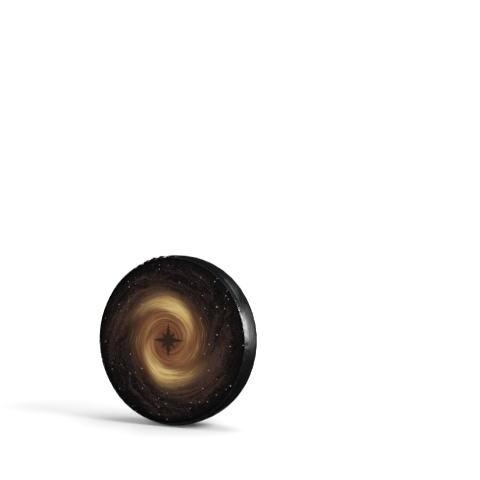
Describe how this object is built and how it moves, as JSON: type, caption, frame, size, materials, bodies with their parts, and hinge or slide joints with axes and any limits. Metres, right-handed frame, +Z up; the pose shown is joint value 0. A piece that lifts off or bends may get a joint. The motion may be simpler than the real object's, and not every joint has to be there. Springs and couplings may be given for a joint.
{
  "type": "spare tire cover",
  "caption": "Soft round cover that fits over a spare tyre: a printed front panel, a glossy black side band, a piped front seam and an elastic rear mouth.",
  "frame": {"origin": "centre of the tyre seat, on the wheel's axis", "axes": "+Y along the wheel's axis from the front panel to the open back, +Z up, the band's join at -Z"},
  "size_m": [0.7654, 0.1666, 0.766],
  "materials": {
    "printed_fabric": "printed polyester, satin coating",
    "coated_black": "glossy coated synthetic leather",
    "piping_black": "glossy coated synthetic leather on the bias",
    "hem_black": "satin coated synthetic leather",
    "tape_black": "woven polyester tape",
    "thread_black": "bonded polyester thread",
    "cord_filler": "extruded filler cord",
    "elastic_black": "braided cover over rubber",
    "crimp_steel": "plated steel"
  },
  "bodies": {
    "shell": {"front_panel": "printed_fabric", "piping_sleeve": "piping_black", "piping_core": "cord_filler", "front_seam_binding": "tape_black", "front_seam_stitching": "thread_black", "side_band": "coated_black", "band_join_tape": "tape_black", "band_join_stitching": "thread_black", "rear_seam_stitching": "thread_black"},
    "mouth": {"rear_skirt": "coated_black", "rear_seam_tape": "tape_black", "hem_casing": "hem_black", "hem_stitching": "thread_black", "elastic_cord": "elastic_black", "elastic_crimp": "crimp_steel", "skirt_join_stitching": "thread_black"}
  },
  "joints": [
    {"name": "fold_flat", "type": "slide", "parent": "shell", "child": "mouth", "axis": [0, -1, 0], "range_m": [0, 0.098], "deforming": ["side_band", "band_join_tape", "band_join_stitching", "rear_seam_stitching"]}
  ]
}
